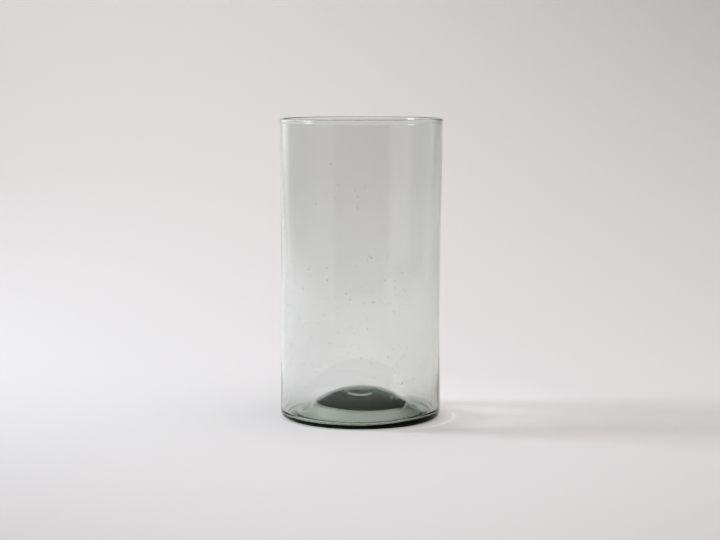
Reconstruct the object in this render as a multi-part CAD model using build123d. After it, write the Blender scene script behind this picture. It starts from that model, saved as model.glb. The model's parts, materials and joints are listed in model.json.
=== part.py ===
from build123d import *

import math
import os

# Glass cylinder vase: a free-blown vessel with a kicked-up floor, and the pontil seal left under it.
# Units are millimetres. The origin is on the table plane under the vase's axis and +Z points up.
# Both solids are bodies of revolution about Z, drawn as profiles in the (radius, height) plane.

# Overall size
height = 260.0
neck_radius = 70.0

# Outside of the wall: heel, shallow waist, straight neck
heel_radius = 5.0
foot_radius = 69.6
waist_radius = 68.75
waist_height = 100.0
neck_height = 240.0

# Wall thickness at the neck, at the waist and just above the heel
neck_wall = 2.2
waist_wall = 2.2
foot_wall = 2.2

# Fire-polished rim: a soft bead that swells outwards, with a round crown on top
rim_swell = 0.6
rim_height = 4.0
crown_aspect = 1.25  # crown height over half the bead's width
crown_flat = 0.56  # how long the crown stays level, over half the bead's width
crown_upright = 0.7  # how long its sides stay upright, over half the bead's width
swell_lead = 1.0
swell_settle = 1.2

# Inside of the floor: a round valley next to the wall and a dome in the middle
valley_height = 3.2
valley_radius = 63.0
dome_height = 26.0
dome_curve = 66.5
dome_cap_radius = 28.0
dome_lead = 15.0  # how long the slope goes on straight beyond the cap
dome_settle = 9.0  # how long it lies level before the valley

# Underside: standing ring, then a shallower kick-up
ring_inner_radius = 57.0
kick_height = 15.0
kick_curve = 110.0
kick_cap_radius = 38.0
kick_lead = 7.0
kick_settle = 5.0

# Pontil seal: the disc of glass left where the punty rod was stuck on and snapped off
seal_radius = 14.5
seal_thickness = 2.2
seal_edge = 0.8
seal_dish = 1.6
seal_dish_radius = 9.0
dish_ease = 0.42  # share of the dish's slope that lies level at each end


def cap_drop(curve, radius):
    """Fall of a spherical cap from its top to the given radius."""
    return curve - math.sqrt(curve**2 - radius**2)


def cap_slope(curve, radius):
    """Steepness of a spherical cap at the given radius."""
    return radius / math.sqrt(curve**2 - radius**2)


def flow(start, start_slope, start_reach, end, end_reach):
    """Smooth curve that leaves its start on a downward slope and lies level at its end."""
    angle = math.atan(start_slope)
    lead = (start[0] + start_reach * math.cos(angle), start[1] - start_reach * math.sin(angle))
    return Bezier(start, lead, (end[0] - end_reach, end[1]), end)


def upright(low, high):
    """Smooth curve that leaves its low end and reaches its high end vertically."""
    rise = (high[1] - low[1]) / 3
    return Bezier(low, (low[0], low[1] + rise), (high[0], high[1] - rise), high)


def cap_arc(top, curve, radius):
    """Arc of a spherical cap from the axis out to the given radius, with its end point."""
    end = (radius, top - cap_drop(curve, radius))
    middle = (radius / 2, top - cap_drop(curve, radius / 2))
    return ThreePointArc((0, top), middle, end), end


def underside():
    """Kick-up from the axis to the standing ring, then the ring's flat."""
    cap, cap_end = cap_arc(kick_height, kick_curve, kick_cap_radius)
    ring = (ring_inner_radius, 0)
    shoulder = flow(cap_end, cap_slope(kick_curve, kick_cap_radius), kick_lead, ring, kick_settle)
    flat = Line(ring, (foot_radius - heel_radius, 0))
    return [cap, shoulder, flat]


def outside():
    """Rounded heel, waisted wall and straight neck."""
    heel_start = (foot_radius - heel_radius, 0)
    heel_end = (foot_radius, heel_radius)
    heel_centre = (foot_radius - heel_radius, heel_radius)
    diagonal = heel_radius / math.sqrt(2)
    heel_middle = (heel_centre[0] + diagonal, heel_centre[1] - diagonal)
    waist = (waist_radius, waist_height)
    neck = (neck_radius, neck_height)
    rim_foot = (neck_radius, height - rim_height)
    return [
        ThreePointArc(heel_start, heel_middle, heel_end),
        upright(heel_end, waist),
        upright(waist, neck),
        Line(neck, rim_foot),
    ]


def rim():
    """Bead over the wall's top, swelling outwards and flush with the bore inside."""
    inner = neck_radius - neck_wall
    outer = neck_radius + rim_swell
    half = (outer - inner) / 2
    level = half * crown_flat
    upright_reach = half * crown_upright
    crown_foot = height - half * crown_aspect
    crest = (inner + half, height)
    swell_foot = (neck_radius, height - rim_height)
    swell_top = (outer, crown_foot)
    bore_top = (inner, crown_foot)
    swell = Bezier(
        swell_foot,
        (neck_radius, swell_foot[1] + swell_lead),
        (outer, crown_foot - swell_settle),
        swell_top,
    )
    over = Bezier(swell_top, (outer, crown_foot + upright_reach), (crest[0] + level, height), crest)
    back = Bezier(crest, (crest[0] - level, height), (inner, crown_foot + upright_reach), bore_top)
    return [swell, over, back], bore_top


def inside(bore_top):
    """Bore, waisted inner wall, inner heel, valley and dome, down to the axis."""
    bore_foot = (neck_radius - neck_wall, neck_height)
    waist = (waist_radius - waist_wall, waist_height)
    wall_radius = foot_radius - foot_wall
    fillet = wall_radius - valley_radius
    wall_foot = (wall_radius, valley_height + fillet)
    diagonal = fillet / math.sqrt(2)
    fillet_middle = (valley_radius + diagonal, valley_height + fillet - diagonal)
    valley = (valley_radius, valley_height)
    cap, cap_end = cap_arc(dome_height, dome_curve, dome_cap_radius)
    slope = cap_slope(dome_curve, dome_cap_radius)
    return [
        Line(bore_top, bore_foot),
        upright(waist, bore_foot),
        upright(wall_foot, waist),
        ThreePointArc(wall_foot, fillet_middle, valley),
        flow(cap_end, slope, dome_lead, valley, dome_settle),
        cap,
    ]


def turned(edges):
    """Revolve a closed profile about Z."""
    return revolve(Plane.XZ * make_face(edges), axis=Axis.Z)


def vessel():
    """One gather of glass: floor, wall and rim."""
    bead, bore_top = rim()
    axis_line = Line((0, dome_height), (0, kick_height))
    return turned(underside() + outside() + bead + inside(bore_top) + [axis_line])


def pontil_seal():
    """Disc fused to the top of the kick-up, with a flat dish where the rod came away."""
    cap, rim_top = cap_arc(kick_height, kick_curve, seal_radius)
    foot = kick_height - seal_thickness
    edge_top = (seal_radius, foot + seal_edge)
    edge_foot = (seal_radius - seal_edge, foot)
    edge_middle = (
        seal_radius - seal_edge * (1 - math.sqrt(0.5)),
        foot + seal_edge * (1 - math.sqrt(0.5)),
    )
    dish_rim = (seal_dish_radius, foot + seal_dish)
    dish_reach = dish_ease * (edge_foot[0] - seal_dish_radius)
    dish_slope = Bezier(
        edge_foot,
        (edge_foot[0] - dish_reach, foot),
        (seal_dish_radius + dish_reach, dish_rim[1]),
        dish_rim,
    )
    dish_floor = Line(dish_rim, (0, dish_rim[1]))
    axis_line = Line((0, kick_height), (0, dish_rim[1]))
    side = Line(rim_top, edge_top)
    edge = ThreePointArc(edge_top, edge_middle, edge_foot)
    return turned([cap, side, edge, dish_slope, dish_floor, axis_line])


os.makedirs("parts", exist_ok=True)
export_step(vessel(), "parts/vessel.step")
export_step(pontil_seal(), "parts/pontil_seal.step")
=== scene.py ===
import json
import math
import random

import bmesh
import bpy
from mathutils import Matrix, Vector, noise


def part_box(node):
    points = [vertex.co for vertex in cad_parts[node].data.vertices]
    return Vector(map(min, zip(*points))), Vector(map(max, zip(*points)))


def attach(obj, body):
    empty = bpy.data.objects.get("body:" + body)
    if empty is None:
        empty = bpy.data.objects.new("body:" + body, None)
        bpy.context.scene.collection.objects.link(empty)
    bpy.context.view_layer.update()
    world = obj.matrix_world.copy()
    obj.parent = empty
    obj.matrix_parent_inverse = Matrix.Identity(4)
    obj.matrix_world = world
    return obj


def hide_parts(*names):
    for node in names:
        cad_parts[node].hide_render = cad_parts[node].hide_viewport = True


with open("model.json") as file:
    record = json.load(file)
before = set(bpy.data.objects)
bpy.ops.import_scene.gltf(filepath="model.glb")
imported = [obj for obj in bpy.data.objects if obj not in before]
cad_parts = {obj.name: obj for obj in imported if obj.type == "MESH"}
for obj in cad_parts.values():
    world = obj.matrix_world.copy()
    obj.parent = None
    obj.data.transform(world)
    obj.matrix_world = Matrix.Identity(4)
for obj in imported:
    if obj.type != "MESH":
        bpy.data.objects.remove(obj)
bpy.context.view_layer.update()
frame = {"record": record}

# Hand-blown glass cylinder vase on a pale sweep.
# The glass is worked out in millimetres and its mesh is written in metres; the stage is in metres.
# The camera stands at -Y, so +X is to the right of the picture and +Y is away from the camera.

MM = 0.001
vessel_low, vessel_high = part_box("vessel")
seal_low, seal_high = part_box("pontil_seal")
mounts = {m["name"]: m for m in frame["record"]["mounts"]}

# Ideal round section of the glass, the same as in the CAD; names without _Z are radii or lengths
HEIGHT = (vessel_high.z - vessel_low.z) / MM
RIM_OUTER = vessel_high.x / MM
BORE = mounts["mouth"]["dims"]["r_mm"]
NECK = 70.0
NECK_Z = 240.0
WAIST = 68.75
WAIST_Z = 100.0
FOOT = 69.6
HEEL = 5.0
WALL = 2.2
FOOT_WALL = 2.2
RIM_HEIGHT = 4.0
CROWN_ASPECT = 1.25
CROWN_FLAT = 0.56
CROWN_UPRIGHT = 0.7
SWELL_LEAD = 1.0
SWELL_SETTLE = 1.2
VALLEY = 63.0
VALLEY_Z = 3.2
DOME_Z = 26.0
DOME_CURVE = 66.5
DOME_CAP = 28.0
DOME_LEAD = 15.0
DOME_SETTLE = 9.0
RING = 57.0
KICK_Z = 15.0
KICK_CURVE = 110.0
KICK_CAP = 38.0
KICK_LEAD = 7.0
KICK_SETTLE = 5.0
SEAL = seal_high.x / MM
SEAL_Z = seal_low.z / MM
SEAL_EDGE = 0.8
SEAL_JOIN = 0.05
SEAL_DISH = 1.6
SEAL_DISH_R = 9.0
DISH_EASE = 0.42

# Derived from the section
CROWN_HALF = (RIM_OUTER - BORE) / 2
CROWN_Z = HEIGHT - CROWN_HALF * CROWN_ASPECT
CREST = (BORE + CROWN_HALF, HEIGHT)
INNER_FOOT = FOOT - FOOT_WALL
FILLET = INNER_FOOT - VALLEY

# Steps of the mesh along each part of the section, and round the axis
STEPS = {
    "dish": 8,
    "dish_slope": 16,
    "seal_edge": 6,
    "kick_cap": 20,
    "kick_slope": 16,
    "ring": 4,
    "heel": 20,
    "lower_wall": 36,
    "upper_wall": 50,
    "neck": 6,
    "bead": 8,
    "fillet": 16,
    "dome_slope": 24,
    "dome_cap": 18,
}
SEGMENTS = 224

# Faces of the glass; the numbers also keep the unevenness of one face apart from another's
ON_OUTSIDE = 1
ON_BORE = 2
ON_UNDERSIDE = 3
ON_FLOOR = 4

# Hand-made unevenness, in millimetres.
# A pair says where something is absent and where it is full, along a height, a radius or X.
WALL_SLOW = 0.22
WALL_FINE = 0.05
SLOW_SWELLS = {"around": 1.3, "rise": 110, "apart": 7.0, "start": 0.0}
FINE_SWELLS = {"around": 4.0, "rise": 60, "apart": 3.0, "start": 5.0}
WALL_FROM = 60
WALL_FOOT = (10, 50)
WALL_RIM = (HEIGHT, HEIGHT - 40)
WALL_RIM_LEAST = 0.2
FLOOR_SLOW = 0.20
FLOOR_SLOW_SPAN = 34
FLOOR_FINE = 0.06
FLOOR_FINE_SPAN = 13
FLOOR_APART = 9.0
FLOOR_FINE_START = 4.0
FLOOR_REACH = (60, 46)
FLOOR_LOW = (40, 26)
LEAN = 0.9
RIM_SAG = 0.8

# The floor sits a little off centre, tips up on the right, and is pushed up from below on the left
DOME_SHIFT = 1.2
DOME_SHIFT_REACH = (58, 28)
FLOOR_TILT = 1.1
TILT_RADIUS = (38, 56)
TILT_HEIGHT = (34, 10)
FLANK_TOP = 1.0
FLANK_UNDER = 3.0
FLANK_LEFT = (0, -40)
FLANK_REACH = (52, 37)

# The wall is thicker low down, most of all on the right; the sideways share goes by the cosine
RIGHT_THICK = 1.6
LEFT_THICK = 0.6
THICK_HEIGHT = (50, 0)
RIGHT_WALL = 0.3
RIGHT_WALL_HEIGHT = (200, 120)
THICK_RADIUS = (58, 66)
SIDEWAYS = (1 / 3, 1)

# Seed bubbles: how many, their half-widths and how they lie in the wall, in millimetres
SEEDS = 520
SEED_DRAW = 7
SEED_LOWEST = 14
SEED_BELOW_RIM = 12
FINE_SEED = (0.20, 0.30)
LARGE_SEED = (0.30, 0.42)
FINE_SHARE = 0.7
SEED_STRETCH = (1.0, 1.9)
SEED_DEEPEST = 0.5
SEED_COVER = 0.2
SEED_FOOT_Z = VALLEY_Z + 4

# Glass
GLASS_IOR = 1.52
SMOKE = (0.05, 0.15, 0.07, 1)
SMOKE_DENSITY = 56.0
# Near-black tint of the bubbles: painted shade for the dark look that seeds get from bending light away
BUBBLE_PAINTED_SHADE = (0.03, 0.035, 0.032, 1)
BUBBLE_ROUGH = 0.3

# Painted room that the glass mirrors, a painted reflection: brightness by direction, in degrees,
# 0 in front and + to the right
ROOM_LOW = [
    (-180, 1.0), (-150, 1.6), (-135, 1.45), (-122, 0.8), (-110, 0.50),
    (-95, 0.36), (-80, 0.30), (-60, 0.06), (-40, 0.05), (-30, 0.02),
    (36, 0.02), (47, 0.75), (70, 0.75), (80, 0.34), (95, 0.34),
    (107, 0.46), (120, 0.42), (132, 0.28), (160, 0.12), (180, 0.25),
]
ROOM_HIGH = 0.05
ROOM_SPLIT = (0.10, 0.45)
HAZE = 0.85
HAZE_FROM = -0.070
HAZE_FULL = -0.15
SKY = (0.765, 0.740, 0.728, 1)
CEILING_FROM = 0.35

# Mirrored table: how far it reaches in each direction before the painted room takes over, in
# metres, and how much painted light makes it brighter mirrored than it is seen
TABLE_EDGE = [
    (-180, 3.0), (-135, 1.7), (-118, 1.04), (-42, 1.08), (-34, 0.71),
    (38, 0.71), (46, 1.05), (118, 1.25), (135, 1.8), (180, 3.0),
]
EDGE_BLUR = (0.85, 1.25)
TABLE_LIFT = 0.76
LEFT_LIFT = 0.35
LIFT_START = 0.45
LIFT_STEEP = 3.0
FEW_PASSES = 3.5
SMALLEST_REACH = 0.01

# Paint of the table and the backdrop; the drift, rolls, rise and lift are shares of brightness.
# The drift, rolls and rise are painted light and shade across the sweep, and the lift is
# painted light round the vase.
FLOOR_COLOUR = (0.785, 0.768, 0.765)
ACROSS = (-1.0, 1.0)
AWAY = (-0.6, 2.6)
SIDE_DRIFT = 0.159
SIDE_ROLL = 0.20
FRONT_ROLL = 0.7
FRONT_FROM = 0.25
FRONT_FALL = -4.0
BACK_RISE = 0.0935
BACK_ROLL = 0.026
NEAR_LIFT = 0.06
NEAR_REACH = 0.35

# Painted light on the table, in place of light gathered by the glass; a pair says where it is
# absent and where it is full
UNDER = 0.24
# Green tint of the painted glow under the base
UNDER_GLOW_TINT = (0.80, 1.0, 0.80, 1)
UNDER_GLOW_EDGE = (0.071, 0.069)
UNDER_REACH = (0.068, 0.058)
UNDER_ACROSS = (0.10, -0.12)
UNDER_BACK = (0.08, 0.05)
CLOSE = 0.05
CLOSE_RADIUS = 0.070
CLOSE_FALL = 0.006
CLOSE_START = (0.066, 0.071)
SHADE_LIFT = 0.13
SHADE_REACH = (0.28, 0.04)
SHADE_START = (0.068, 0.082)
SHADE_RIGHT = (0.02, 0.075)
SHADE_FRONT = (-0.070, -0.015)
SHADE_BACK = (0.30, 0.16)
ARC = 0.13
ARC_X = 0.009
ARC_R = 0.073
ARC_WIDE = 0.0014
ARC_RIGHT = (-0.03, 0.06)
ARC_FRONT = (0.03, 0.0)

# Sweep: floor, bend and backdrop, with the floor a hair below the foot
SWEEP_HALF = 8.0
BEND_FROM = 0.45
BEND_RADIUS = 3.4
BEND_STEPS = 48
BACKDROP_RISE = 1.0
FOOT_GAP = 0.0003

# Lamps: the key lights the table and isn't mirrored, the glint is only mirrored
KEY_SIZE = (0.40, 1.10)
KEY_POWER = 19.0
KEY_COLOUR = (0.825, 0.90, 0.98)
KEY_PLACE = (-1.40, 0.137, 0.75)
KEY_AIM_Z = 0.2
GLINT_SIZE = (0.35, 0.90)
GLINT_POWER = 7.5
GLINT_COLOUR = (1, 1, 1)
GLINT_PLACE = (-1.40, -0.20, 0.70)
GLINT_AIM_Z = 0.1

# Camera
CAMERA_SIDE = -0.00034
CAMERA_BACK = 1.556
CAMERA_HEIGHT = 0.2959
CAMERA_DOWN = 6.17
LENS = 90
SENSOR = 36

# Plain pale surround: beside the camera's frame or in front of it, and well away from the vase
FRAME_SPREAD = 0.215
ASIDE = (0.01, 0.30)
IN_FRONT = (-0.46, -0.80)
PLAIN_FROM = (0.45, 0.85)

# Tone curve of the picture: it deepens the darkest greys and lifts the middle ones a touch
TONE = [
    (0.03, 0.005), (0.07, 0.018), (0.105, 0.043), (0.147, 0.105), (0.20, 0.19),
    (0.26, 0.275), (0.40, 0.415), (0.58, 0.58), (0.78, 0.78),
]


def ease(t):
    """Smooth step from 0 to 1."""
    t = min(1.0, max(0.0, t))
    return t * t * (3 - 2 * t)


def fade(value, absent, full):
    """0 where value is at absent, 1 where it is at full, smooth between."""
    return ease((value - absent) / (full - absent))


# Curves of the section: each leaves out its first point, which the curve before it ends on


def bezier(p, n):
    out = []
    for i in range(1, n + 1):
        t = i / n
        u = 1 - t
        w = (u**3, 3 * u * u * t, 3 * u * t * t, t**3)
        out.append((sum(a * q[0] for a, q in zip(w, p)), sum(a * q[1] for a, q in zip(w, p))))
    return out


def arc(cx, cz, r, a0, a1, n):
    out = []
    for i in range(1, n + 1):
        a = math.radians(a0 + (a1 - a0) * i / n)
        out.append((cx + r * math.cos(a), cz + r * math.sin(a)))
    return out


def line(p, q, n):
    return [(p[0] + (q[0] - p[0]) * i / n, p[1] + (q[1] - p[1]) * i / n) for i in range(1, n + 1)]


def upright(low, high, n):
    """Curve that leaves its low end and reaches its high end vertically."""
    rise = (high[1] - low[1]) / 3
    return bezier([low, (low[0], low[1] + rise), (high[0], high[1] - rise), high], n)


def cap(top, curve, r0, r1, n):
    """Spherical cap from one radius out to another."""
    out = []
    for i in range(1, n + 1):
        r = r0 + (r1 - r0) * i / n
        out.append((r, top - (curve - math.sqrt(curve**2 - r**2))))
    return out


def flow(start, curve, lead, end, settle_over, n):
    """Curve that carries on from a spherical cap's edge and lies level at its end."""
    angle = math.atan(start[0] / math.sqrt(curve**2 - start[0] ** 2))
    ahead = (start[0] + lead * math.cos(angle), start[1] - lead * math.sin(angle))
    return bezier([start, ahead, (end[0] - settle_over, end[1]), end], n)


def back_along(points, start):
    """The same curve walked from its end to its start."""
    return list(reversed(points))[1:] + [start]


def underside():
    """From the axis over the seal's dish and edge, down the kick-up and across the standing ring."""
    dish_z = SEAL_Z + SEAL_DISH
    foot = SEAL - SEAL_EDGE
    reach = DISH_EASE * (foot - SEAL_DISH_R)
    dish = [(SEAL_DISH_R, dish_z), (SEAL_DISH_R + reach, dish_z), (foot - reach, SEAL_Z), (foot, SEAL_Z)]
    pts = [(0.0, dish_z)]
    pts += line(pts[0], dish[0], STEPS["dish"])
    pts += bezier(dish, STEPS["dish_slope"])
    pts += arc(foot, SEAL_Z + SEAL_EDGE, SEAL_EDGE, -90, 0, STEPS["seal_edge"])
    pts += cap(KICK_Z, KICK_CURVE, SEAL + SEAL_JOIN, KICK_CAP, STEPS["kick_cap"])
    pts += flow(pts[-1], KICK_CURVE, KICK_LEAD, (RING, 0), KICK_SETTLE, STEPS["kick_slope"])
    pts += line((RING, 0), (FOOT - HEEL, 0), STEPS["ring"])
    return pts


def outside():
    """From the standing ring round the heel, up the wall and over the bead to its crest."""
    rim_foot = (NECK, HEIGHT - RIM_HEIGHT)
    side = (RIM_OUTER, CROWN_Z)
    swell = [rim_foot, (NECK, rim_foot[1] + SWELL_LEAD), (RIM_OUTER, CROWN_Z - SWELL_SETTLE), side]
    over = [
        side,
        (RIM_OUTER, CROWN_Z + CROWN_HALF * CROWN_UPRIGHT),
        (CREST[0] + CROWN_HALF * CROWN_FLAT, HEIGHT),
        CREST,
    ]
    pts = arc(FOOT - HEEL, HEEL, HEEL, -90, 0, STEPS["heel"])
    pts += upright((FOOT, HEEL), (WAIST, WAIST_Z), STEPS["lower_wall"])
    pts += upright((WAIST, WAIST_Z), (NECK, NECK_Z), STEPS["upper_wall"])
    pts += line((NECK, NECK_Z), rim_foot, STEPS["neck"])
    pts += bezier(swell, STEPS["bead"])
    pts += bezier(over, STEPS["bead"])
    return pts


def bore():
    """From the crest down the bore and the inner wall to the fillet at its foot."""
    side = (BORE, CROWN_Z)
    waist = (WAIST - WALL, WAIST_Z)
    foot = (INNER_FOOT, VALLEY_Z + FILLET)
    over = [
        CREST,
        (CREST[0] - CROWN_HALF * CROWN_FLAT, HEIGHT),
        (BORE, CROWN_Z + CROWN_HALF * CROWN_UPRIGHT),
        side,
    ]
    pts = bezier(over, STEPS["bead"])
    pts += line(side, (BORE, NECK_Z), STEPS["neck"])
    pts += back_along(upright(waist, (BORE, NECK_Z), STEPS["upper_wall"]), waist)
    pts += back_along(upright(foot, waist, STEPS["lower_wall"]), foot)
    return pts


def floor_top():
    """From the foot of the inner wall through the valley and up to the top of the dome."""
    top = cap(DOME_Z, DOME_CURVE, 0, DOME_CAP, STEPS["dome_cap"])
    valley = (VALLEY, VALLEY_Z)
    down = flow(top[-1], DOME_CURVE, DOME_LEAD, valley, DOME_SETTLE, STEPS["dome_slope"])
    pts = arc(VALLEY, VALLEY_Z + FILLET, FILLET, 0, -90, STEPS["fillet"])
    pts += back_along(down, top[-1])
    pts += back_along(top, (0.0, DOME_Z))
    return pts


def profile():
    """Section of the glass from the axis under the seal round to the axis on the dome, with the
    face that each point lies on."""
    pts, sides = [], []
    parts = (
        (ON_UNDERSIDE, underside()),
        (ON_OUTSIDE, outside()),
        (ON_BORE, bore()),
        (ON_FLOOR, floor_top()),
    )
    for side, part in parts:
        pts += part
        sides += [side] * len(part)
    return pts, sides


def swells(side, angle, z, around, rise, apart, start):
    """Smooth noise over the wall."""
    c, s = math.cos(angle), math.sin(angle)
    return noise.noise(Vector((c * around + side * apart, s * around, z / rise + start)))


def wave(side, angle, z):
    """Hand-made unevenness of the wall, in millimetres of radius."""
    share = fade(z, *WALL_FOOT) * max(WALL_RIM_LEAST, fade(z, *WALL_RIM))
    slow = swells(side, angle, z, **SLOW_SWELLS)
    fine = swells(side, angle, z, **FINE_SWELLS)
    return share * (WALL_SLOW * slow + WALL_FINE * fine)


def floor_wave(side, x, y):
    """Unevenness of the floor's two faces, in millimetres of height."""
    level = side * FLOOR_APART
    slow = noise.noise(Vector((x / FLOOR_SLOW_SPAN, y / FLOOR_SLOW_SPAN, level)))
    fine = noise.noise(Vector((x / FLOOR_FINE_SPAN, y / FLOOR_FINE_SPAN, level + FLOOR_FINE_START)))
    return FLOOR_SLOW * slow + FLOOR_FINE * fine


def extra_wall(r, angle, z):
    """How much further in the inner face lies where the wall is thicker, in millimetres."""
    c = math.cos(angle)
    right, left = fade(c, *SIDEWAYS), fade(-c, *SIDEWAYS)
    gather = (RIGHT_THICK * right + LEFT_THICK * left) * fade(z, *THICK_HEIGHT)
    gather += RIGHT_WALL * right * fade(z, *RIGHT_WALL_HEIGHT)
    return gather * fade(r, *THICK_RADIUS)


def lean_and_sag(z):
    """How far the glass leans to the right and sinks at a height, in millimetres."""
    share = z / HEIGHT
    return LEAN * share**2, RIM_SAG * share**4


def settle(r, angle, z, side):
    """Where a point of the ideal section ends up in the hand-made glass, in metres."""
    inner = side in (ON_BORE, ON_FLOOR)
    if r > WALL_FROM:
        r += wave(side, angle, z)
    if inner:
        r -= extra_wall(r, angle, z)
    x, y = r * math.cos(angle), r * math.sin(angle)
    low = fade(z, *FLOOR_LOW)
    z += fade(r, *FLOOR_REACH) * low * floor_wave(side, x, y)
    flank = fade(x, *FLANK_LEFT) * fade(r, *FLANK_REACH)
    if side == ON_UNDERSIDE:
        z += FLANK_UNDER * flank
    if side == ON_FLOOR:
        z += FLANK_TOP * flank
        x += DOME_SHIFT * fade(r, *DOME_SHIFT_REACH) * low
    if inner:
        z += FLOOR_TILT * fade(x, 0, VALLEY) * fade(r, *TILT_RADIUS) * fade(z, *TILT_HEIGHT)
    lean, sag = lean_and_sag(z)
    return (x + lean) * MM, y * MM, (z - sag) * MM


def turn(pts, sides, segments):
    """Mesh of the section turned about Z, closed on the axis at both ends."""
    def ring(i):
        return 1 + i * segments

    verts, faces = [settle(0.0, 0.0, pts[0][1], sides[0])], []
    for (r, z), side in zip(pts[1:-1], sides[1:-1]):
        for k in range(segments):
            verts.append(settle(r, 2 * math.pi * k / segments, z, side))
    verts.append(settle(0.0, 0.0, pts[-1][1], sides[-1]))
    for k in range(segments):
        faces.append((0, ring(0) + (k + 1) % segments, ring(0) + k))
    last = len(pts) - 3
    for i in range(last):
        for k in range(segments):
            m = (k + 1) % segments
            faces.append((ring(i) + k, ring(i) + m, ring(i + 1) + m, ring(i + 1) + k))
    for k in range(segments):
        faces.append((ring(last) + k, ring(last) + (k + 1) % segments, len(verts) - 1))
    return verts, faces


def place(name, data):
    """New object for some data, in the scene."""
    ob = bpy.data.objects.new(name, data)
    bpy.context.scene.collection.objects.link(ob)
    return ob


def mesh_object(name, verts, faces):
    me = bpy.data.meshes.new(name)
    me.from_pydata(verts, [], faces)
    me.validate()
    me.shade_smooth()
    return place(name, me)


def clear_material(name, colour, roughness):
    """Material that light passes through and bends as it does in glass."""
    m = bpy.data.materials.new(name)
    m.use_nodes = True
    b = m.node_tree.nodes["Principled BSDF"]
    b.inputs["Base Color"].default_value = colour
    b.inputs["Roughness"].default_value = roughness
    b.inputs["IOR"].default_value = GLASS_IOR
    b.inputs["Transmission Weight"].default_value = 1.0
    return m


def glass_material():
    """Clear glass whose grey-green tint deepens with its thickness."""
    m = clear_material("smoke_glass", (1, 1, 1, 1), 0.0)
    nt = m.node_tree
    v = nt.nodes.new("ShaderNodeVolumeAbsorption")
    v.inputs["Color"].default_value = SMOKE
    v.inputs["Density"].default_value = SMOKE_DENSITY
    nt.links.new(v.outputs["Volume"], nt.nodes["Material Output"].inputs["Volume"])
    return m


def wall_radii(z):
    """Outer and inner radius of the wall at a height, in millimetres."""
    if z < WAIST_Z:
        outer = FOOT + (WAIST - FOOT) * fade(z, HEEL, WAIST_Z)
        inner = INNER_FOOT + (WAIST - WALL - INNER_FOOT) * fade(z, SEED_FOOT_Z, WAIST_Z)
        return outer, inner
    up = fade(z, WAIST_Z, NECK_Z)
    return WAIST + (NECK - WAIST) * up, WAIST - WALL + (BORE - WAIST + WALL) * up


def unit_ball():
    """Points and triangles of a small round ball of radius 1."""
    ball = bmesh.new()
    bmesh.ops.create_icosphere(ball, subdivisions=1, radius=1.0)
    points = [v.co.copy() for v in ball.verts]
    tris = [[v.index for v in f.verts] for f in ball.faces]
    ball.free()
    return points, tris


def seeds():
    """Air bubbles trapped in the wall, drawn out a little along it; normals face into each bubble."""
    rng = random.Random(SEED_DRAW)
    ball, tris = unit_ball()
    verts, faces = [], []
    for _ in range(SEEDS):
        z = rng.uniform(SEED_LOWEST, HEIGHT - SEED_BELOW_RIM)
        angle = rng.uniform(0, 2 * math.pi)
        outer, inner = wall_radii(z)
        outer += wave(ON_OUTSIDE, angle, z)
        inner += wave(ON_BORE, angle, z)
        wide = rng.uniform(*FINE_SEED) if rng.random() < FINE_SHARE else rng.uniform(*LARGE_SEED)
        tall = wide * rng.uniform(*SEED_STRETCH)
        deep = min(wide, SEED_DEEPEST)
        middle = rng.uniform(inner + deep + SEED_COVER, outer - deep - SEED_COVER)
        lean, sag = lean_and_sag(z)
        c, s = math.cos(angle), math.sin(angle)
        first = len(verts)
        for co in ball:
            r, t = middle + co.x * deep, co.y * wide
            x, y = r * c - t * s + lean, r * s + t * c
            verts.append((x * MM, y * MM, (z - sag + co.z * tall) * MM))
        faces += [tuple(first + i for i in reversed(f)) for f in tris]
    return verts, faces


glass = mesh_object("vase_glass", *turn(*profile(), SEGMENTS))
glass.data.materials.append(glass_material())
glass.cycles.is_caustics_caster = True
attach(glass, "root")
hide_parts("vessel", "pontil_seal")

bubbles = mesh_object("seed_bubbles", *seeds())
# The bubbles' near-black tint is painted shade
bubbles.data.materials.append(clear_material("bubble_air", BUBBLE_PAINTED_SHADE, BUBBLE_ROUGH))
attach(bubbles, "root")


# Node helpers for the stage


def add(nt, kind, **values):
    """New node with some of its properties set."""
    n = nt.nodes.new(kind)
    for k, v in values.items():
        setattr(n, k, v)
    return n


def calc(nt, operation, a, b=None, clamp=False):
    """Output of a maths node whose inputs are numbers or sockets."""
    n = add(nt, "ShaderNodeMath", operation=operation, use_clamp=clamp)
    for i, v in enumerate((a, b)):
        if v is None:
            continue
        if isinstance(v, (int, float)):
            n.inputs[i].default_value = v
        else:
            nt.links.new(v, n.inputs[i])
    return n.outputs[0]


def product(nt, first, *others):
    for other in others:
        first = calc(nt, "MULTIPLY", first, other)
    return first


def total(nt, first, *others):
    for other in others:
        first = calc(nt, "ADD", first, other)
    return first


def clamp_to(nt, value, low, high):
    return calc(nt, "MINIMUM", calc(nt, "MAXIMUM", value, low), high)


def ramp01(nt, value, start, end):
    """0 where value is at start, 1 where it's at end, smooth between."""
    n = add(nt, "ShaderNodeMapRange", interpolation_type="SMOOTHSTEP")
    n.inputs["From Min"].default_value = min(start, end)
    n.inputs["From Max"].default_value = max(start, end)
    n.inputs["To Min"].default_value = 0.0 if start < end else 1.0
    n.inputs["To Max"].default_value = 1.0 if start < end else 0.0
    nt.links.new(value, n.inputs["Value"])
    return n.outputs["Result"]


def split(nt, vector):
    """X, Y and Z of a vector."""
    n = nt.nodes.new("ShaderNodeSeparateXYZ")
    nt.links.new(vector, n.inputs[0])
    return n.outputs["X"], n.outputs["Y"], n.outputs["Z"]


def scaled(nt, vector, scale):
    """A vector times a number; one of them is a socket and the other a plain value."""
    n = add(nt, "ShaderNodeVectorMath", operation="SCALE")
    for value, slot in ((vector, n.inputs[0]), (scale, n.inputs["Scale"])):
        if isinstance(value, (tuple, float)):
            slot.default_value = value
        else:
            nt.links.new(value, slot)
    return n.outputs[0]


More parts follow.
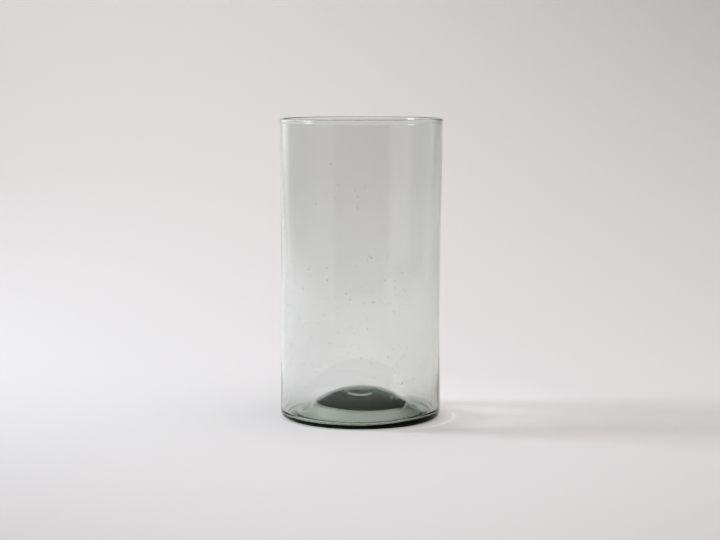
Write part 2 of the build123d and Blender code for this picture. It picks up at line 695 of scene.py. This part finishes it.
def mix_colour(nt, factor, a, b):
    """Colour a where factor is 0 and b where it's 1; each is a colour or a socket."""
    n = add(nt, "ShaderNodeMix", data_type="RGBA")
    nt.links.new(factor, n.inputs["Factor"])
    for name, value in (("A", a), ("B", b)):
        if isinstance(value, tuple):
            n.inputs[name].default_value = value
        else:
            nt.links.new(value, n.inputs[name])
    return n.outputs["Result"]


def mix_shader(nt, factor, a, b):
    n = nt.nodes.new("ShaderNodeMixShader")
    nt.links.new(factor, n.inputs[0])
    nt.links.new(a, n.inputs[1])
    nt.links.new(b, n.inputs[2])
    return n.outputs[0]


def bearing01(nt, x, y):
    """Direction seen from above, from 0 to 1: 0.5 is towards the camera and 0.75 is to the right."""
    bearing = calc(nt, "ARCTAN2", x, product(nt, y, -1.0))
    return total(nt, calc(nt, "DIVIDE", bearing, 2 * math.pi), 0.5)


def band(nt, turn01, stops):
    """Value by direction, from (degrees, value) stops; 0 faces the camera, + is to the right."""
    ramp = nt.nodes.new("ShaderNodeValToRGB")
    ramp.color_ramp.interpolation = "EASE"
    el = ramp.color_ramp.elements
    while len(el) > 1:
        el.remove(el[-1])
    for k, (deg, v) in enumerate(stops):
        at = (deg + 180) / 360
        e = el[0] if k == 0 else el.new(at)
        e.position = at
        e.color = (v, v, v, 1)
    nt.links.new(turn01, ramp.inputs["Fac"])
    return ramp.outputs["Color"]


def room_group():
    """Painted reflection that the glass mirrors beyond the table: a dim room by direction, bright below
    level.
    """
    g = bpy.data.node_groups.new("room", "ShaderNodeTree")
    g.interface.new_socket("Direction", in_out="INPUT", socket_type="NodeSocketVector")
    g.interface.new_socket("Color", in_out="OUTPUT", socket_type="NodeSocketColor")
    x, y, z = split(g, g.nodes.new("NodeGroupInput").outputs[0])
    steep = ramp01(g, calc(g, "ABSOLUTE", z), *ROOM_SPLIT)
    high = (ROOM_HIGH, ROOM_HIGH, ROOM_HIGH, 1)
    room = mix_colour(g, steep, band(g, bearing01(g, x, y), ROOM_LOW), high)
    haze = add(g, "ShaderNodeMapRange", interpolation_type="LINEAR")
    haze.inputs["From Min"].default_value = HAZE_FROM
    haze.inputs["From Max"].default_value = HAZE_FULL
    haze.inputs["To Max"].default_value = HAZE
    g.links.new(z, haze.inputs["Value"])
    both = add(g, "ShaderNodeVectorMath", operation="ADD")
    g.links.new(room, both.inputs[0])
    g.links.new(haze.outputs["Result"], both.inputs[1])
    g.links.new(both.outputs[0], g.nodes.new("NodeGroupOutput").inputs[0])
    return g


ROOM = room_group()


def room_colour(nt, direction):
    """Colour of the mirrored room in a direction."""
    n = add(nt, "ShaderNodeGroup", node_tree=ROOM)
    nt.links.new(direction, n.inputs[0])
    return n.outputs[0]


def ray_test(nt, test, depth):
    """1 for a ray that passes a test on one of its depths and hasn't met a matt surface, else 0."""
    path = nt.nodes.new("ShaderNodeLightPath")
    passed = calc(nt, test, path.outputs[depth], 0.5)
    return product(nt, passed, calc(nt, "LESS_THAN", path.outputs["Diffuse Depth"], 0.5))


def mirrored(nt):
    """1 for a ray that has been reflected by the glass, 0 for one that hasn't."""
    return ray_test(nt, "GREATER_THAN", "Glossy Depth")


def seen(nt):
    """1 for a ray straight from the camera or bent by the glass, 0 for one reflected anywhere."""
    return ray_test(nt, "LESS_THAN", "Glossy Depth")


def painted_glass_light(nt, x, y, out_to):
    """Painted light on the table in place of light the glass throws: under the base, close round it,
    in the shade on the right and in a thin bright arc."""
    under = product(
        nt,
        ramp01(nt, out_to, *UNDER_REACH),
        ramp01(nt, x, *UNDER_ACROSS),
        ramp01(nt, y, *UNDER_BACK),
        UNDER,
    )
    outward = calc(nt, "DIVIDE", calc(nt, "SUBTRACT", CLOSE_RADIUS, out_to), CLOSE_FALL)
    close = product(nt, calc(nt, "EXPONENT", outward), CLOSE, ramp01(nt, out_to, *CLOSE_START))
    light_in_shadow = product(
        nt,
        ramp01(nt, out_to, *SHADE_REACH),
        ramp01(nt, x, *SHADE_RIGHT),
        ramp01(nt, y, *SHADE_FRONT),
        ramp01(nt, y, *SHADE_BACK),
        ramp01(nt, out_to, *SHADE_START),
        SHADE_LIFT,
    )
    from_mid = calc(nt, "SUBTRACT", x, ARC_X)
    ring = calc(nt, "SQRT", total(nt, product(nt, from_mid, from_mid), product(nt, y, y)))
    off_ring = calc(nt, "DIVIDE", calc(nt, "SUBTRACT", ring, ARC_R), ARC_WIDE)
    bright_arc = product(
        nt,
        calc(nt, "EXPONENT", product(nt, off_ring, off_ring, -1.0)),
        ramp01(nt, x, *ARC_RIGHT),
        ramp01(nt, y, *ARC_FRONT),
        ARC,
    )
    return total(nt, under, close, light_in_shadow, bright_arc)


def paint_with_painted_light(nt, x, y, z, radius2):
    """Colour of the table and backdrop, with painted light and shade: it drifts sideways, rolls off at
    the sides and in front, rises towards the back and has painted light round the vase."""
    across = clamp_to(nt, x, *ACROSS)
    away = clamp_to(nt, total(nt, y, z), *AWAY)
    drift = calc(nt, "SUBTRACT", SIDE_DRIFT, product(nt, away, SIDE_DRIFT))
    lean = product(nt, across, drift)
    in_front = calc(nt, "EXPONENT", product(nt, total(nt, away, FRONT_FROM), FRONT_FALL))
    roll = total(nt, product(nt, in_front, FRONT_ROLL), SIDE_ROLL)
    edge = product(nt, across, across, roll)
    rise = product(nt, away, calc(nt, "SUBTRACT", BACK_RISE, product(nt, away, BACK_ROLL)))
    # Painted light round the vase
    near_light = calc(nt, "EXPONENT", product(nt, radius2, -1.0 / NEAR_REACH**2))
    near_light = product(nt, near_light, NEAR_LIFT)
    tone = calc(nt, "EXPONENT", total(nt, calc(nt, "SUBTRACT", lean, edge), rise, near_light))
    return scaled(nt, FLOOR_COLOUR, tone)


def painted_mirror_light(nt, x, y, out_to):
    """Painted light on the table where the glass mirrors it: more in front and on the left,
    growing with distance, and faster for a ray that has crossed only a few faces of the glass."""
    distance = calc(nt, "MAXIMUM", out_to, SMALLEST_REACH)
    ahead = calc(nt, "SUBTRACT", 0.5, product(nt, calc(nt, "DIVIDE", y, distance), 0.5))
    leftness = calc(nt, "DIVIDE", x, product(nt, distance, -1.0))
    leftward = product(nt, calc(nt, "MAXIMUM", leftness, 0.0), LEFT_LIFT)
    passes = nt.nodes.new("ShaderNodeLightPath").outputs["Transmission Depth"]
    few = calc(nt, "LESS_THAN", passes, FEW_PASSES)
    steepness = total(nt, product(nt, few, LIFT_STEEP), LIFT_STEEP)
    beyond = calc(nt, "SUBTRACT", product(nt, distance, steepness), LIFT_START, clamp=True)
    return product(nt, total(nt, ahead, leftward), beyond, TABLE_LIFT)


def floor_material():
    """Matt painted sweep that glows with painted light round the vase and where the glass mirrors it.
    The glass mirrors it only as far as the table's edge, past which it shows the painted room, and
    outside the camera's frame it is plain and pale."""
    m = bpy.data.materials.new("floor")
    m.use_nodes = True
    m.cycles.emission_sampling = "NONE"
    nt = m.node_tree
    geo = nt.nodes.new("ShaderNodeNewGeometry")
    x, y, z = split(nt, geo.outputs["Position"])
    radius2 = total(nt, product(nt, x, x), product(nt, y, y))
    out_to = calc(nt, "SQRT", radius2)

    matt = nt.nodes["Principled BSDF"]
    matt.inputs["Roughness"].default_value = 1.0
    matt.inputs["Specular IOR Level"].default_value = 0.0
    # The base colour carries painted light and shade across the sweep and round the vase
    nt.links.new(paint_with_painted_light(nt, x, y, z, radius2), matt.inputs["Base Color"])
    # Emission: painted light on the table, tinted green under the base, round the vase and where the
    # glass mirrors it
    inside = ramp01(nt, out_to, *UNDER_GLOW_EDGE)
    nt.links.new(mix_colour(nt, inside, (1, 1, 1, 1), UNDER_GLOW_TINT), matt.inputs["Emission Color"])
    mirror_glow = product(nt, mirrored(nt), painted_mirror_light(nt, x, y, out_to))
    glow = total(nt, mirror_glow, painted_glass_light(nt, x, y, out_to))
    nt.links.new(glow, matt.inputs["Emission Strength"])

    # Past the table's edge, mirrored rays see the floor glow with the painted room: a painted reflection
    reach = calc(nt, "DIVIDE", out_to, band(nt, bearing01(nt, x, y), TABLE_EDGE))
    past_edge = product(nt, ramp01(nt, reach, *EDGE_BLUR), mirrored(nt))
    room = nt.nodes.new("ShaderNodeEmission")
    outward = scaled(nt, geo.outputs["Incoming"], -1.0)
    nt.links.new(room_colour(nt, outward), room.inputs["Color"])
    table = mix_shader(nt, past_edge, matt.outputs[0], room.outputs[0])

    half_frame = product(nt, total(nt, y, CAMERA_BACK), FRAME_SPREAD)
    aside = calc(nt, "SUBTRACT", calc(nt, "ABSOLUTE", x), half_frame)
    out_of_frame = calc(nt, "MAXIMUM", ramp01(nt, aside, *ASIDE), ramp01(nt, y, *IN_FRONT))
    plain = product(nt, out_of_frame, ramp01(nt, out_to, *PLAIN_FROM), seen(nt))
    pale = nt.nodes.new("ShaderNodeEmission")
    pale.inputs["Color"].default_value = SKY
    surface = mix_shader(nt, plain, table, pale.outputs[0])
    nt.links.new(surface, nt.nodes["Material Output"].inputs["Surface"])
    return m


def sweep():
    """Floor that curves up into a backdrop, as a strip across X."""
    prof = [(-SWEEP_HALF, 0.0), (BEND_FROM, 0.0)]
    for i in range(1, BEND_STEPS + 1):
        a = math.radians(90 * i / BEND_STEPS)
        prof.append((BEND_FROM + BEND_RADIUS * math.sin(a), BEND_RADIUS - BEND_RADIUS * math.cos(a)))
    prof.append((BEND_FROM + BEND_RADIUS, BEND_RADIUS + BACKDROP_RISE))
    verts, faces = [], []
    for y, z in prof:
        verts += [(-SWEEP_HALF, y, z), (SWEEP_HALF, y, z)]
    for i in range(len(prof) - 1):
        faces.append((2 * i, 2 * i + 1, 2 * i + 3, 2 * i + 2))
    return verts, faces


def lamp(name, size, power, colour, at, aim_z):
    """Soft rectangular lamp that looks at the vase's axis and isn't seen by the camera."""
    data = bpy.data.lights.new(name, "AREA")
    data.shape = "RECTANGLE"
    data.size, data.size_y = size
    data.energy = power
    data.color = colour
    ob = place(name, data)
    ob.location = at
    ob.rotation_euler = (Vector((0, 0, aim_z)) - ob.location).to_track_quat("-Z", "Y").to_euler()
    ob.visible_camera = False
    return ob


def studio_world():
    """Plain sky; mirrored rays see the painted room instead, and so do steep rays through the glass."""
    world = bpy.data.worlds.new("studio")
    world.use_nodes = True
    world.cycles.sampling_method = "NONE"
    nt = world.node_tree
    direction = nt.nodes.new("ShaderNodeTexCoord").outputs["Generated"]
    upward = split(nt, direction)[2]
    through = ray_test(nt, "GREATER_THAN", "Transmission Depth")
    steep = product(nt, through, calc(nt, "GREATER_THAN", upward, CEILING_FROM))
    indoors = calc(nt, "MAXIMUM", mirrored(nt), steep)
    background = nt.nodes["Background"]
    background.inputs["Strength"].default_value = 1.0
    nt.links.new(mix_colour(nt, indoors, SKY, room_colour(nt, direction)), background.inputs["Color"])
    return world


def camera():
    data = bpy.data.cameras.new("camera")
    data.lens = LENS
    data.sensor_width = SENSOR
    data.clip_start = 0.05
    data.clip_end = 100
    ob = place("camera", data)
    ob.location = (CAMERA_SIDE, -CAMERA_BACK, CAMERA_HEIGHT)
    ob.rotation_euler = (math.radians(90 - CAMERA_DOWN), 0, 0)
    return ob


floor = mesh_object("floor", *sweep())
floor.data.materials.append(floor_material())
floor.location.z = -FOOT_GAP
floor.cycles.is_caustics_receiver = True

key = lamp("key", KEY_SIZE, KEY_POWER, KEY_COLOUR, KEY_PLACE, KEY_AIM_Z)
key.data.cycles.is_caustics_light = True
key.visible_glossy = False
key.visible_transmission = False

glint = lamp("glint", GLINT_SIZE, GLINT_POWER, GLINT_COLOUR, GLINT_PLACE, GLINT_AIM_Z)
glint.visible_diffuse = False
glint.data.use_nodes = True
glint_nodes = glint.data.node_tree
glint_strength = glint_nodes.nodes["Emission"].inputs["Strength"]
glint_nodes.links.new(mirrored(glint_nodes), glint_strength)

scene = bpy.context.scene
scene.world = studio_world()
scene.camera = camera()

scene.view_settings.view_transform = "Standard"
scene.view_settings.use_curve_mapping = True
mapping = scene.view_settings.curve_mapping
for grey, shown in TONE:
    mapping.curves[3].points.new(grey, shown)
mapping.update()

scene.cycles.max_bounces = 24
scene.cycles.transmission_bounces = 24
scene.cycles.glossy_bounces = 12
scene.cycles.diffuse_bounces = 4
scene.cycles.use_denoising = True
scene.cycles.use_guiding = True
scene.cycles.sample_clamp_indirect = 0.0
scene.cycles.use_adaptive_sampling = False
